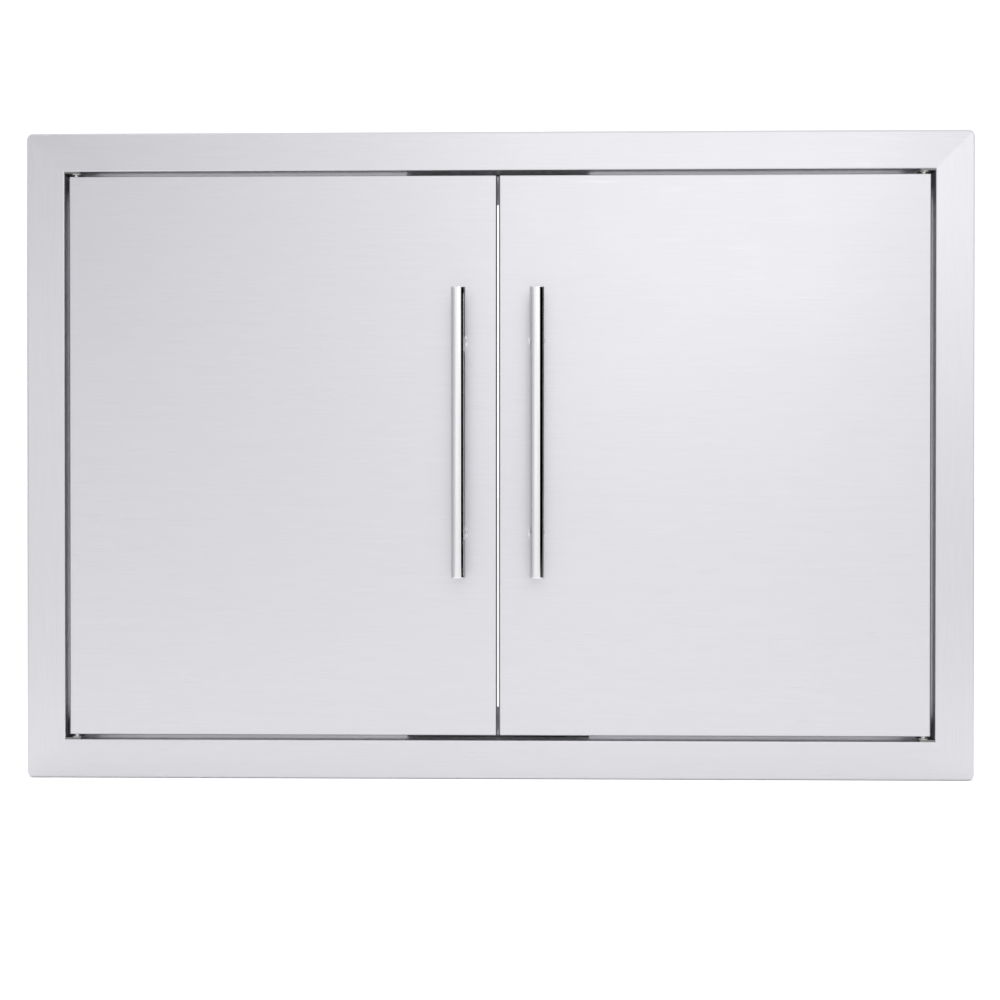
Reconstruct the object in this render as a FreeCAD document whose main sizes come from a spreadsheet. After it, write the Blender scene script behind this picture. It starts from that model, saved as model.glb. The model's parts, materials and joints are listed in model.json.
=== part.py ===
import FreeCAD, Part
import Sketcher
import math
import os
import re

# Double access door for a barbecue island: a trim frame with two flush doors on spring-loaded pivot pins.
# Frame: X to the viewer's right, Y into the island, Z up, in millimetres. The origin is the centre of the
# opening in the plane of the island's wall, so the trim stands in front of it at negative Y.

SIZES = [
    ("frame_width", 780, "trim, overall"),
    ("frame_height", 533, "trim, overall"),
    ("trim_width", 32, "face of the trim on each side"),
    ("trim_depth", 8, "how far the trim stands out from the wall"),
    ("frame_sheet", 1.0, "sheet of the frame"),
    ("corner_radius", 5.5, "trim's outer corners, seen from the front"),
    ("trim_bend", 2.0, "outer bend at the trim's front edge"),
    ("lip_bend", 1.5, "outer bend at the trim's back edge"),
    ("opening_bend", 1.2, "outer bend at the opening's front edge"),
    ("back_lip", 10, "trim's lip that rests on the wall"),
    ("box_depth", 45, "frame's walls behind the wall face"),
    ("rear_hem", 15, "inward fold at the back of the frame's walls"),
    ("side_hole_radius", 2.75, "fixing holes in the side walls"),
    ("side_hole_depth", 30, "fixing holes behind the wall face"),
    ("side_hole_spacing", 300, "fixing holes, centre to centre"),
    ("door_gap", 4, "above and below the doors"),
    ("side_gap", 3.4, "beside the doors"),
    ("centre_gap", 1.6, "between the doors"),
    ("door_depth", 18, "front face to the liner's back"),
    ("skin_sheet", 0.9, "sheet of the door's skin"),
    ("skin_bend", 0.3, "inner bends of the skin"),
    ("skin_lip", 14, "skin's inward lip at the back"),
    ("liner_sheet", 0.8, "sheet of the liner"),
    ("liner_margin", 3, "liner inside the door's outline"),
    ("liner_corner", 4, "liner's corners"),
    ("hinge_inset", 5, "pivot axis inside the door's edge"),
    ("hinge_setback", 5.8, "pivot axis behind the door's face"),
    ("pin_radius", 2.0, "pivot pins"),
    ("pin_fit", 0.06, "running clearance of a pin in its bush"),
    ("pin_hole_gap", 0.25, "clearance of a pin in a sheet"),
    ("pin_travel", 7, "top pin pulled down"),
    ("seat_gap", 0.3, "between a moving piece and its seat"),
    ("snug_gap", 0.05, "round pressed and screwed pieces"),
    ("bracket_sheet", 1.2, "sheet of pivot brackets and pin carriers"),
    ("pivot_bracket_edge", 4, "pivot bracket beyond the axis"),
    ("pivot_bracket_front", 5, "pivot bracket in front of the axis"),
    ("pivot_bracket_leg", 14, "pivot bracket's leg down the back of the door"),
    ("pivot_bracket_gap", 2.8, "door's back to the pivot bracket's leg"),
    ("bush_wall", 0.85, "bush round its bore"),
    ("bush_brim", 0.7, "bush's flange beyond its body"),
    ("bush_flange", 0.6, "bush's flange"),
    ("bush_floor", 1.0, "bush's closed end"),
    ("bush_bore_depth", 4.5, "bush's blind bore"),
    ("pin_tip_gap", 0.5, "top pin's tip to the bush's floor"),
    ("pin_chamfer", 0.6, "pins' ends"),
    ("pin_head_brim", 1.3, "bottom pin's head, beyond the pin"),
    ("pin_head", 2, "bottom pin's head, inside the door"),
    ("collar_brim", 1.1, "top pin's collar, beyond the pin"),
    ("collar", 3, "top pin's collar"),
    ("clip_sheet", 0.7, "retaining clip"),
    ("clip_brim", 1.2, "retaining clip beyond the pin"),
    ("clip_groove", 0.6, "depth of the top pin's groove"),
    ("clip_mouth", 2.6, "retaining clip's open side"),
    ("carrier_height", 40, "pin carrier, overall"),
    ("carrier_edge", 4.2, "pin carrier's legs beyond the axis"),
    ("carrier_land", 2.4, "pin carrier's web beyond the pull tab's slot"),
    ("carrier_gap", 0.5, "pin carrier inside the skin"),
    ("pin_tail", 4.2, "top pin below its carrier"),
    ("tab_sheet", 2, "pull tab"),
    ("tab_width", 8, "pull tab's strip"),
    ("tab_inset", 16, "pull tab's strip inside the door's edge"),
    ("tab_reach", 12, "pull tab behind the door"),
    ("tab_drop", 8, "pull tab's turned-down end"),
    ("tab_slot_gap", 1, "slot beside the pull tab"),
    ("spring_gap", 0.25, "spring round the pin"),
    ("spring_wire", 0.7, "spring's wire, across"),
    ("spring_turns", 9, "whole turns"),
    ("handle_length", 235, "handle's bar"),
    ("handle_radius", 6, "handle's bar"),
    ("handle_end_round", 1.0, "handle's bar, at its ends"),
    ("handle_inset", 31.75, "bar's axis from the middle of the frame"),
    ("handle_standoff", 32, "bar's axis in front of the door"),
    ("handle_rise", 18, "bar's middle above the door's middle"),
    ("post_spacing", 158, "handle's posts"),
    ("post_drop", 3, "posts' middle below the bar's middle"),
    ("post_radius", 5.5, "handle's posts"),
    ("post_flange_radius", 7, "flange at a post's foot"),
    ("post_flange", 2.5, "flange at a post's foot"),
    ("post_flange_round", 0.6, "flange's rim, and its root on the post"),
    ("handle_screw_radius", 2, "M4 screws into the posts"),
    ("handle_screw_bite", 12, "screw inside its post"),
    ("handle_screw_head_radius", 4, "screw's pan head"),
    ("handle_screw_head", 2.4, "screw's pan head"),
    ("stiffener_sheet", 1.0, "hat section behind the handle"),
    ("stiffener_width", 24, "hat section's crown"),
    ("stiffener_foot", 9, "hat section's feet"),
    ("stiffener_end", 40.5, "hat section's ends from the door's edges"),
    ("rivet_radius", 1.6, "blind rivets' shank"),
    ("rivet_head_radius", 3.1, "blind rivets' head"),
    ("rivet_head", 0.9, "blind rivets' head"),
    ("rivet_bulb_radius", 2.3, "blind rivets' closed end"),
    ("rivet_bulb", 3, "blind rivets' closed end"),
    ("rivet_pitch", 110, "between rivets along an edge"),
    ("catch_bracket_end", 13, "catch bracket beyond the catches at each end"),
    ("catch_bracket_edge", 3.5, "catch bracket's leg beyond the catches"),
    ("catch_bracket_sheet", 1.5, "catch bracket"),
    ("catch_bracket_gap", 5, "door's back to the catch bracket's leg"),
    ("catch_foot_gap", 3, "catch bracket's foot to the rear fold"),
    ("catch_offset", 40, "each catch from the middle of the frame"),
    ("catch_drop", 13.5, "each catch from the rail"),
    ("catch_wall", 1.8, "catch housing beside its pocket"),
    ("catch_roof", 2.6, "catch housing above and below its pocket"),
    ("catch_ear", 8, "catch housing's flange beyond its nose at each side"),
    ("catch_brim", 2, "catch housing's flange above and below its nose"),
    ("catch_flange", 3, "catch housing's flange"),
    ("catch_round", 1.5, "catch housing's corners"),
    ("magnet_width", 26, "magnet and pole plates"),
    ("magnet_height", 4, "magnet"),
    ("magnet_depth", 5.5, "magnet"),
    ("magnet_slack", 0.4, "pocket round the magnet and its pole plates, in all"),
    ("pole_sheet", 1.2, "pole plates"),
    ("pole_stand", 0.5, "pole plates in front of the housing"),
    ("strike_sheet", 1.5, "strike plates"),
    ("strike_ear", 12, "strike plates beyond the magnets at each side"),
    ("strike_height", 11, "strike plates"),
    ("catch_screw_radius", 1.45, "catch screws"),
    ("catch_screw_head_radius", 2.8, "catch screws"),
    ("catch_screw_head", 1.8, "catch screws"),
]

# Places that follow from the sizes. left_ and top_ places serve the right and the bottom by mirroring.
PLACES = [
    ("opening_width", "frame_width - 2 * trim_width"),
    ("opening_height", "frame_height - 2 * trim_width"),
    ("opening_left", "-opening_width / 2"),
    ("opening_top", "opening_height / 2"),
    ("door_front", "-trim_depth"),
    ("door_bend", "skin_sheet + skin_bend"),
    ("door_back", "door_front + door_depth"),
    ("liner_front", "door_back - liner_sheet"),
    ("lip_front", "liner_front - skin_sheet"),
    ("door_left", "opening_left + side_gap"),
    ("door_right", "-centre_gap / 2"),
    ("door_width", "door_right - door_left"),
    ("door_middle", "(door_left + door_right) / 2"),
    ("door_height", "opening_height - 2 * door_gap"),
    ("door_top", "door_height / 2"),
    ("hinge_x", "door_left + hinge_inset"),
    ("hinge_y", "door_front + hinge_setback"),
    ("bush_radius", "pin_radius + pin_fit + bush_wall"),
    ("bush_face", "opening_top - bracket_sheet - bush_flange"),
    ("collar_radius", "pin_radius + collar_brim"),
    ("spring_radius", "pin_radius + spring_gap + spring_wire / 2"),
    ("carrier_top", "door_top - skin_lip - carrier_gap"),
    ("carrier_floor", "carrier_top - carrier_height + bracket_sheet"),
    ("carrier_left", "door_left + skin_sheet + carrier_gap"),
    ("collar_top", "carrier_top - bracket_sheet - seat_gap"),
    ("tab_top", "collar_top - collar"),
    ("clip_top", "tab_top - tab_sheet"),
    ("spring_top", "clip_top - clip_sheet"),
    ("tab_left", "door_left + tab_inset"),
    ("carrier_right", "tab_left + tab_width + tab_slot_gap + carrier_land"),
    ("slot_bottom", "clip_top - pin_travel - tab_slot_gap"),
    ("slot_top", "tab_top + tab_slot_gap"),
    ("handle_x", "-handle_inset"),
    ("handle_y", "door_front - handle_standoff"),
    ("rivet_inset", "skin_lip / 2"),
    ("catch_x", "-catch_offset"),
    ("catch_z", "opening_top - catch_drop"),
    ("strike_back", "door_back + strike_sheet"),
    ("pole_front", "strike_back + seat_gap"),
    ("nose_front", "pole_front + pole_stand"),
    ("catch_leg_front", "door_back + catch_bracket_gap"),
    ("catch_leg_back", "catch_leg_front + catch_bracket_sheet"),
    ("catch_flange_back", "catch_leg_back + catch_flange"),
    ("magnet_back", "nose_front + magnet_depth + pole_stand"),
    ("magnet_pocket", "magnet_height + 2 * pole_sheet + magnet_slack"),
    ("catch_width", "magnet_width + magnet_slack + 2 * catch_wall"),
    ("catch_height", "magnet_pocket + 2 * catch_roof"),
    ("catch_flange_width", "catch_width + 2 * catch_ear"),
    ("catch_flange_height", "catch_height + 2 * catch_brim"),
    ("catch_screw_offset", "catch_width / 2 + catch_ear / 2"),
    ("catch_leg_end", "catch_z - catch_flange_height / 2 - catch_bracket_edge"),
    ("catch_bracket_width", "2 * (catch_offset + catch_flange_width / 2 + catch_bracket_end)"),
    ("strike_width", "magnet_width + 2 * strike_ear"),
    ("strike_rivet_offset", "magnet_width / 2 + 0.6 * strike_ear"),
]

WORD = re.compile(r"[A-Za-z_]\w*")
TINY = 1e-4

doc = FreeCAD.newDocument("access_door")
sheet = doc.addObject("Spreadsheet::Sheet", "sizes")
places = doc.addObject("App::VarSet", "places")
size_names = {alias for alias, value, meaning in SIZES}
place_names = {name for name, formula in PLACES}


def bound(formula):
    """The formula, with each named size or place pointed at the object that holds it."""
    def holder(match):
        word = match.group(0)
        if word in size_names:
            return "sizes." + word
        if word in place_names:
            return "places." + word
        return word
    return WORD.sub(holder, str(formula))


def number(name):
    """The present value of a named size or place."""
    if name in size_names:
        return float(sheet.get(name))
    return getattr(places, name)


def fill_in_sizes():
    for row, (alias, value, meaning) in enumerate(SIZES, 1):
        sheet.set(f"A{row}", alias)
        sheet.set(f"B{row}", str(value))
        sheet.setAlias(f"B{row}", alias)
        sheet.set(f"C{row}", meaning)
    doc.recompute()
    for name, formula in PLACES:
        places.addProperty("App::PropertyFloat", name, "Places")
        places.setExpression(name, bound(formula))
    doc.recompute()


# Helpers for sketches and features

def new_body(label):
    body = doc.addObject("PartDesign::Body", label)
    body.Label = label
    return body


def sketch_on(body, role, name, offset="0"):
    """A sketch on one of the body's own origin planes, moved along the plane's normal."""
    sketch = body.newObject("Sketcher::SketchObject", name)
    plane = next(o for o in body.Origin.OriginFeatures if o.Role == role)
    sketch.AttachmentSupport = [(plane, "")]
    sketch.MapMode = "FlatFace"
    sketch.setExpression("AttachmentOffset.Base.z", bound(offset))
    return sketch


def front_sketch(body, name, y):
    """Drawn in X and Z, at the place y. Its normal points at the viewer."""
    return sketch_on(body, "XZ_Plane", name, f"-({y})")


def plan_sketch(body, name, z="0"):
    """Drawn in X and Y, at the height z."""
    return sketch_on(body, "XY_Plane", name, z)


def side_sketch(body, name, x="0"):
    """Drawn in Y and Z, at the place x."""
    return sketch_on(body, "YZ_Plane", name, x)


def dimension(sketch, kind, *where, formula):
    """Adds a dimension and ties it to a formula."""
    index = sketch.addConstraint(Sketcher.Constraint(kind, *where, 1.0))
    sketch.setExpression(f"Constraints[{index}]", bound(formula))


def outline(sketch, *points):
    """A closed outline of straight lines through points given as formulas."""
    first = len(sketch.Geometry)
    count = len(points)
    turn = 2 * math.pi / count
    guess = [FreeCAD.Vector(math.cos(i * turn), math.sin(i * turn), 0) for i in range(count)]
    for i in range(count):
        sketch.addGeometry(Part.LineSegment(guess[i], guess[(i + 1) % count]), False)
    for i, (across, up) in enumerate(points):
        line = first + i
        previous = first + (i - 1) % count
        sketch.addConstraint(Sketcher.Constraint("Coincident", previous, 2, line, 1))
        dimension(sketch, "DistanceX", -1, 1, line, 1, formula=across)
        dimension(sketch, "DistanceY", -1, 1, line, 1, formula=up)
    return sketch


def rectangle(sketch, width, height, across="0", up="0"):
    """A rectangle about a middle point: two corners are dimensioned, the sides are level and upright."""
    left = f"({across}) - ({width}) / 2"
    low = f"({up}) - ({height}) / 2"
    first = len(sketch.Geometry)
    corners = [(-1, -1), (1, -1), (1, 1), (-1, 1)]
    for i in range(4):
        ends = [FreeCAD.Vector(x, y, 0) for x, y in (corners[i], corners[(i + 1) % 4])]
        sketch.addGeometry(Part.LineSegment(*ends), False)
    for i in range(4):
        sketch.addConstraint(Sketcher.Constraint("Coincident", first + i, 2, first + (i + 1) % 4, 1))
        level = "Horizontal" if i % 2 == 0 else "Vertical"
        sketch.addConstraint(Sketcher.Constraint(level, first + i))
    dimension(sketch, "DistanceX", first, 1, first, 2, formula=width)
    dimension(sketch, "DistanceY", first + 1, 1, first + 1, 2, formula=height)
    dimension(sketch, "DistanceX", -1, 1, first, 1, formula=left)
    dimension(sketch, "DistanceY", -1, 1, first, 1, formula=low)
    return sketch


def circle(sketch, radius, across="0", up="0"):
    index = sketch.addGeometry(Part.Circle(FreeCAD.Vector(0, 0, 0), FreeCAD.Vector(0, 0, 1), 1), False)
    dimension(sketch, "Radius", index, formula=radius)
    dimension(sketch, "DistanceX", -1, 1, index, 3, formula=across)
    dimension(sketch, "DistanceY", -1, 1, index, 3, formula=up)
    return sketch


def pad(body, sketch, length, reverse=False, both_ways=False):
    feature = body.newObject("PartDesign::Pad", sketch.Name + "_pad")
    feature.Profile = sketch
    feature.setExpression("Length", bound(length))
    feature.Reversed = reverse
    if both_ways:
        feature.SideType = "Symmetric"
    doc.recompute()
    return feature


def pocket(body, sketch, length=None, reverse=False, both_ways=False):
    """Cuts against the sketch's normal, or along it when reversed. With no length it cuts right through."""
    feature = body.newObject("PartDesign::Pocket", sketch.Name + "_cut")
    feature.Profile = sketch
    if length is None:
        feature.Type = "ThroughAll"
    else:
        feature.setExpression("Length", bound(length))
    feature.Reversed = reverse
    if both_ways:
        feature.SideType = "Symmetric"
    doc.recompute()
    return feature


def revolve(body, sketch):
    """Turns a half section about the sketch's upright axis."""
    feature = body.newObject("PartDesign::Revolution", sketch.Name + "_turned")
    feature.Profile = sketch
    feature.ReferenceAxis = (sketch, ["V_Axis"])
    feature.Angle = 360
    doc.recompute()
    return feature


def fillet(body, feature, radius, keep):
    """Rounds those edges of the feature that keep() picks."""
    edges = [f"Edge{i}" for i, edge in enumerate(feature.Shape.Edges, 1) if keep(edge)]
    if not edges:
        raise RuntimeError(f"no edge to round on {body.Label}")
    rounded = body.newObject("PartDesign::Fillet", feature.Name + "_round")
    rounded.Base = (feature, edges)
    rounded.setExpression("Radius", bound(radius))
    doc.recompute()
    return rounded


def flat_at(edge, axis, value):
    """True if the whole edge lies at that X, Y or Z."""
    box = edge.BoundBox
    low = getattr(box, axis + "Min")
    high = getattr(box, axis + "Max")
    return abs(low - value) < TINY and abs(high - value) < TINY


def runs_along(edge, axis):
    """True if the edge is a straight line along X, Y or Z."""
    box = edge.BoundBox
    others = [a for a in "XYZ" if a != axis]
    return all(getattr(box, a + "Length") < TINY for a in others)


def at_place(body, x="0", y="0", z="0", turn=None):
    """Moves a body that is drawn about its own axis to its place."""
    if turn is not None:
        body.Placement = FreeCAD.Placement(FreeCAD.Vector(), turn)
    for axis, formula in zip("xyz", (x, y, z)):
        body.setExpression(f"Placement.Base.{axis}", bound(formula))
    return body


def mirrored(source, label, normal):
    """The source's mirror image through the middle of the frame."""
    image = doc.addObject("Part::Mirroring", label)
    image.Label = label
    image.Source = source
    image.Normal = normal
    return image


def group(label, members):
    """Identical fasteners in one node, as separate solids."""
    compound = doc.addObject("Part::Compound", label)
    compound.Label = label
    compound.Links = members
    return compound


LEFT_TO_RIGHT = FreeCAD.Vector(1, 0, 0)
TOP_TO_BOTTOM = FreeCAD.Vector(0, 0, 1)
HEAD_TO_BACK = FreeCAD.Rotation(FreeCAD.Vector(1, 0, 0), -90)


# Frame: one folded surround, cut into four rails on the mitres

def frame_blank():
    body = new_body("frame_blank")
    face = rectangle(front_sketch(body, "trim_outline", "0"), "frame_width", "frame_height")
    block = pad(body, face, "trim_depth")
    block = fillet(body, block, "corner_radius", lambda e: runs_along(e, "Y"))
    front = -number("trim_depth")
    block = fillet(body, block, "trim_bend", lambda e: flat_at(e, "Y", front))
    block = fillet(body, block, "lip_bend", lambda e: flat_at(e, "Y", 0))
    opening = rectangle(front_sketch(body, "opening", "door_front"), "opening_width", "opening_height")
    block = pocket(body, opening)
    sides = [f"Face{i}" for i, face in enumerate(block.Shape.Faces, 1) if faces_opening(face)]
    shell = body.newObject("PartDesign::Thickness", "folded_sheet")
    shell.Base = (block, sides)
    shell.setExpression("Value", bound("frame_sheet"))
    shell.Reversed = True
    doc.recompute()
    wide, tall = "frame_width - 2 * back_lip", "frame_height - 2 * back_lip"
    pocket(body, rectangle(front_sketch(body, "behind_lip", "0"), wide, tall), "frame_sheet", reverse=True)
    walls = front_sketch(body, "walls", "door_front")
    rectangle(walls, "opening_width", "opening_height")
    rectangle(walls, "opening_width + 2 * frame_sheet", "opening_height + 2 * frame_sheet")
    pad(body, walls, "trim_depth + box_depth", reverse=True)
    hem = front_sketch(body, "hem", "box_depth")
    rectangle(hem, "opening_width - 2 * rear_hem", "opening_height - 2 * rear_hem")
    rectangle(hem, "opening_width + frame_sheet", "opening_height + frame_sheet")
    frame = pad(body, hem, "frame_sheet")
    opening_edge = number("opening_height") / 2, number("opening_width") / 2
    frame = fillet(body, frame, "opening_bend",
                   lambda e: flat_at(e, "Y", front) and on_opening_edge(e, *opening_edge))
    holes = side_sketch(body, "side_holes")
    for sign in ("", "-"):
        circle(holes, "side_hole_radius", "side_hole_depth", f"{sign}side_hole_spacing / 2")
    pocket(body, holes, both_ways=True)
    seats = plan_sketch(body, "bush_seats")
    for sign in ("", "-"):
        circle(seats, "bush_radius + snug_gap", f"{sign}hinge_x", "hinge_y")
    pocket(body, seats, "opening_height + 4 * frame_sheet", both_ways=True)
    return body


def faces_opening(face):
    """True for the four flat faces that look into the opening."""
    if face.Surface.TypeId != "Part::GeomPlane":
        return False
    box = face.BoundBox
    upright = abs(abs(box.XMin) - number("opening_width") / 2) < TINY and box.XLength < TINY
    level = abs(abs(box.ZMin) - number("opening_height") / 2) < TINY and box.ZLength < TINY
    return upright or level


def on_opening_edge(edge, top, side):
    box = edge.BoundBox
    level = box.ZLength < TINY and abs(abs(box.ZMin) - top) < TINY
    upright = box.XLength < TINY and abs(abs(box.XMin) - side) < TINY
    return level or upright


def frame_rails():
    """Each rail is the part of the surround between two mitre planes."""
    blank = frame_blank()
    side, top = "frame_width / 2", "frame_height / 2"
    out, into = "trim_width", "2 * trim_width"
    corners = {}
    for sx in ("", "-"):
        for sz in ("", "-"):
            outer = (f"{sx}({side} + {out})", f"{sz}({top} + {out})")
            inner = (f"{sx}({side} - {into})", f"{sz}({top} - {into})")
            corners[sx, sz] = outer + inner
    rails = {
        "frame_top_rail": (("-", ""), ("", "")),
        "frame_right_stile": (("", ""), ("", "-")),
        "frame_bottom_rail": (("", "-"), ("-", "-")),
        "frame_left_stile": (("-", "-"), ("-", "")),
    }
    made = []
    for label, (start, end) in rails.items():
        wedge = new_body(label + "_wedge")
        sketch = front_sketch(wedge, label + "_mitres", "2 * door_front")
        a, b = corners[start], corners[end]
        outline(sketch, (a[0], a[1]), (b[0], b[1]), (b[2], b[3]), (a[2], a[3]))
        pad(wedge, sketch, "2 * trim_depth + 2 * box_depth", reverse=True)
        rail = doc.addObject("Part::Common", label)
        rail.Label = label
        rail.Base = blank
        rail.Tool = wedge
        made.append(rail)
    return made


# Pivots: an angle and a blind nylon bush in each corner of the opening

def pivot_bracket():
    body = new_body("pivot_bracket_top_left")
    back = "door_back + pivot_bracket_gap + bracket_sheet"
    front = "hinge_y - pivot_bracket_front"
    under = "opening_top - bracket_sheet"
    end = "opening_top - pivot_bracket_leg"
    left = "opening_left + snug_gap"
    angle = outline(
        side_sketch(body, "pivot_angle", left),
        (front, "opening_top"), (front, under), (f"{back} - bracket_sheet", under),
        (f"{back} - bracket_sheet", end), (back, end), (back, "opening_top"),
    )
    solid = pad(body, angle, f"hinge_x + pivot_bracket_edge - ({left})")
    back_place = number("door_back") + number("pivot_bracket_gap") + number("bracket_sheet")
    top = number("opening_top")
    solid = fillet(body, solid, "2 * bracket_sheet * 0.9",
                   lambda e: flat_at(e, "Y", back_place) and flat_at(e, "Z", top))
    low = top - number("pivot_bracket_leg")
    fillet(body, solid, "2 * bracket_sheet", lambda e: runs_along(e, "Y") and flat_at(e, "Z", low))
    hole = plan_sketch(body, "bush_hole", "opening_top")
    circle(hole, "bush_radius + snug_gap", "hinge_x", "hinge_y")
    pocket(body, hole, "2 * bracket_sheet")
    return body


def pivot_bush():
    """A closed cup: the bottom pin stands on its floor."""
    body = new_body("pivot_bush_top_left")
    bore, brim = "pin_radius + pin_fit", "bush_radius + bush_brim"
    floor, end = "bush_bore_depth", "bush_bore_depth + bush_floor"
    sketch = sketch_on(body, "XZ_Plane", "bush_section")
    outline(
        sketch, (bore, "0"), (brim, "0"), (brim, "bush_flange"), ("bush_radius", "bush_flange"),
        ("bush_radius", end), ("0", end), ("0", floor), (bore, floor),
    )
    revolve(body, sketch)
    return at_place(body, "hinge_x", "hinge_y", "bush_face")


# Catch: an angle behind the doors that carries two magnetic catches at the top and two at the bottom

def catch_bracket():
    body = new_body("catch_bracket_top")
    foot_end = "box_depth - frame_sheet - catch_foot_gap"
    under = "opening_top - catch_bracket_sheet"
    end = "catch_leg_end"
    angle = outline(
        side_sketch(body, "catch_angle"),
        ("catch_leg_front", "opening_top"), (foot_end, "opening_top"), (foot_end, under),
        ("catch_leg_back", under), ("catch_leg_back", end), ("catch_leg_front", end),
    )
    solid = pad(body, angle, "catch_bracket_width", both_ways=True)
    front, top = number("catch_leg_front"), number("opening_top")
    solid = fillet(body, solid, "catch_bracket_sheet * 1.3",
                   lambda e: flat_at(e, "Y", front) and flat_at(e, "Z", top))
    low = number("catch_leg_end")
    fillet(body, solid, "3 * catch_bracket_sheet", lambda e: runs_along(e, "Y") and flat_at(e, "Z", low))
    cuts = front_sketch(body, "catch_windows", "catch_leg_front")
    for sign in ("", "-"):
        middle = f"{sign}catch_offset"
        rectangle(cuts, "catch_width + 8 * snug_gap", "catch_height + 8 * snug_gap", middle, "catch_z")
        for side in ("+", "-"):
            circle(cuts, "catch_screw_radius + snug_gap", f"{middle} {side} catch_screw_offset", "catch_z")
    pocket(body, cuts, "2 * catch_bracket_sheet")
    return body


def catch_housing():
    body = new_body("catch_housing_top_left")
    nose = front_sketch(body, "nose", "nose_front")
    rectangle(nose, "catch_width", "catch_height", "catch_x", "catch_z")
    pad(body, nose, "catch_leg_back - nose_front", reverse=True)
    flange = front_sketch(body, "flange", "catch_leg_back")
    rectangle(flange, "catch_flange_width", "catch_flange_height", "catch_x", "catch_z")
    solid = pad(body, flange, "catch_flange", reverse=True)
    fillet(body, solid, "catch_round", lambda e: runs_along(e, "Y"))
    well = front_sketch(body, "magnet_pocket", "nose_front")
    rectangle(well, "magnet_width + magnet_slack", "magnet_pocket", "catch_x", "catch_z")
    pocket(body, well, "magnet_back - nose_front")
    holes = front_sketch(body, "screw_holes", "catch_leg_back")
    for side in ("+", "-"):
        circle(holes, "catch_screw_radius + snug_gap", f"catch_x {side} catch_screw_offset", "catch_z")
    pocket(body, holes)
    return body


def catch_magnet():
    body = new_body("catch_magnet_top_left")
    block = front_sketch(body, "magnet", "magnet_back - magnet_depth")
    rectangle(block, "magnet_width", "magnet_height", "catch_x", "catch_z")
    pad(body, block, "magnet_depth", reverse=True)
    return body


def catch_poles():
    plates = []
    for side, place in (("+", "upper"), ("-", "lower")):
        body = new_body(f"pole_{place}")
        middle = f"catch_z {side} (magnet_height + pole_sheet) / 2"
        sketch = front_sketch(body, f"pole_{place}_outline", "pole_front")
        rectangle(sketch, "magnet_width", "pole_sheet", "catch_x", middle)
        pad(body, sketch, "magnet_back - pole_front", reverse=True)
        plates.append(body)
    return group("catch_poles_top_left", plates)


# Fasteners: turned about their own axis, with the head at the back

def turned_fastener(name, x, y, z, section):
    body = new_body(name)
    sketch = sketch_on(body, "XZ_Plane", name + "_section")
    outline(sketch, *section)
    revolve(body, sketch)
    return at_place(body, x, y, z, HEAD_TO_BACK)


def pan_screw(name, x, y, z, head_radius, head, shank_radius, length):
    """A pan head whose underside lies at y, with its shank towards the front."""
    section = [
        ("0", head), (f"0.6 * {head_radius}", head), (f"{head_radius}", f"0.55 * {head}"),
        (f"{head_radius}", "0"), (shank_radius, "0"), (shank_radius, f"-({length}) + 0.5 * {shank_radius}"),
        (f"0.5 * {shank_radius}", f"-({length})"), ("0", f"-({length})"),
    ]
    return turned_fastener(name, x, y, z, section)


def blind_rivet(name, x, y, z, grip):
    """A domed head whose underside lies at y, and a closed end beyond the sheets that it grips."""
    inner, end = f"-({grip})", f"-({grip}) - rivet_bulb"
    section = [
        ("0", "rivet_head"), ("0.5 * rivet_head_radius", "0.9 * rivet_head"),
        ("rivet_head_radius", "0.3 * rivet_head"), ("rivet_head_radius", "0"), ("rivet_radius", "0"),
        ("rivet_radius", inner), ("rivet_bulb_radius", inner),
        ("rivet_bulb_radius", f"{end} + 0.4 * rivet_bulb"), ("0.8 * rivet_radius", end), ("0", end),
    ]
    return turned_fastener(name, x, y, z, section)


def catch_screws():
    screws = []
    for end, up in (("top", ""), ("bottom", "-")):
        for catch, across in (("left", "-"), ("right", "")):
            for side in ("+", "-"):
                place = "right" if side == "+" else "left"
                screws.append(pan_screw(
                    f"catch_screw_{end}_{catch}_{place}",
                    f"{across}catch_offset {side} catch_screw_offset", "catch_flange_back", f"{up}catch_z",
                    "catch_screw_head_radius", "catch_screw_head", "catch_screw_radius",
                    "catch_flange + catch_bracket_sheet + 2 * pole_stand"))
    return group("catch_screws", screws)


# Door: a folded skin, a flat liner riveted to its lips, and a hat section behind the handle

def lip_rivet_places():
    """Rivets along the middle of the skin's lips, clear of the corners, the strike plates and the tab."""
    left, right = "door_left + rivet_inset", "door_right - rivet_inset"
    top = "door_top - rivet_inset"
    # The first two also hold the pin carrier. They stand beside the spring, below the tab's lowest place.
    carrier_low = "carrier_top - carrier_height + 3 * rivet_head_radius"
    carrier_high = "slot_bottom - rivet_head_radius"
    beside_pin = "hinge_x + pin_radius + clip_brim + seat_gap + rivet_bulb_radius"
    places_found = [(beside_pin, carrier_low), (beside_pin, carrier_high)]
    places_found += [(left, f"{step} * rivet_pitch / 2") for step in ("3", "1", "-1", "-3")]
    places_found += [(right, f"{step} * rivet_pitch / 2") for step in ("3", "1", "-1", "-3")]
    for sign in ("", "-"):
        places_found += [(f"door_middle {side} rivet_pitch / 2", f"{sign}({top})") for side in ("+", "-")]
    return places_found


def strike_rivet_places():
    return [
        (f"catch_x {side} strike_rivet_offset", f"{sign}catch_z")
        for sign in ("", "-") for side in ("+", "-")
    ]


def handle_post_heights():
    middle = "handle_rise - post_drop"
    return {"upper": f"{middle} + post_spacing / 2", "lower": f"{middle} - post_spacing / 2"}


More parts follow.
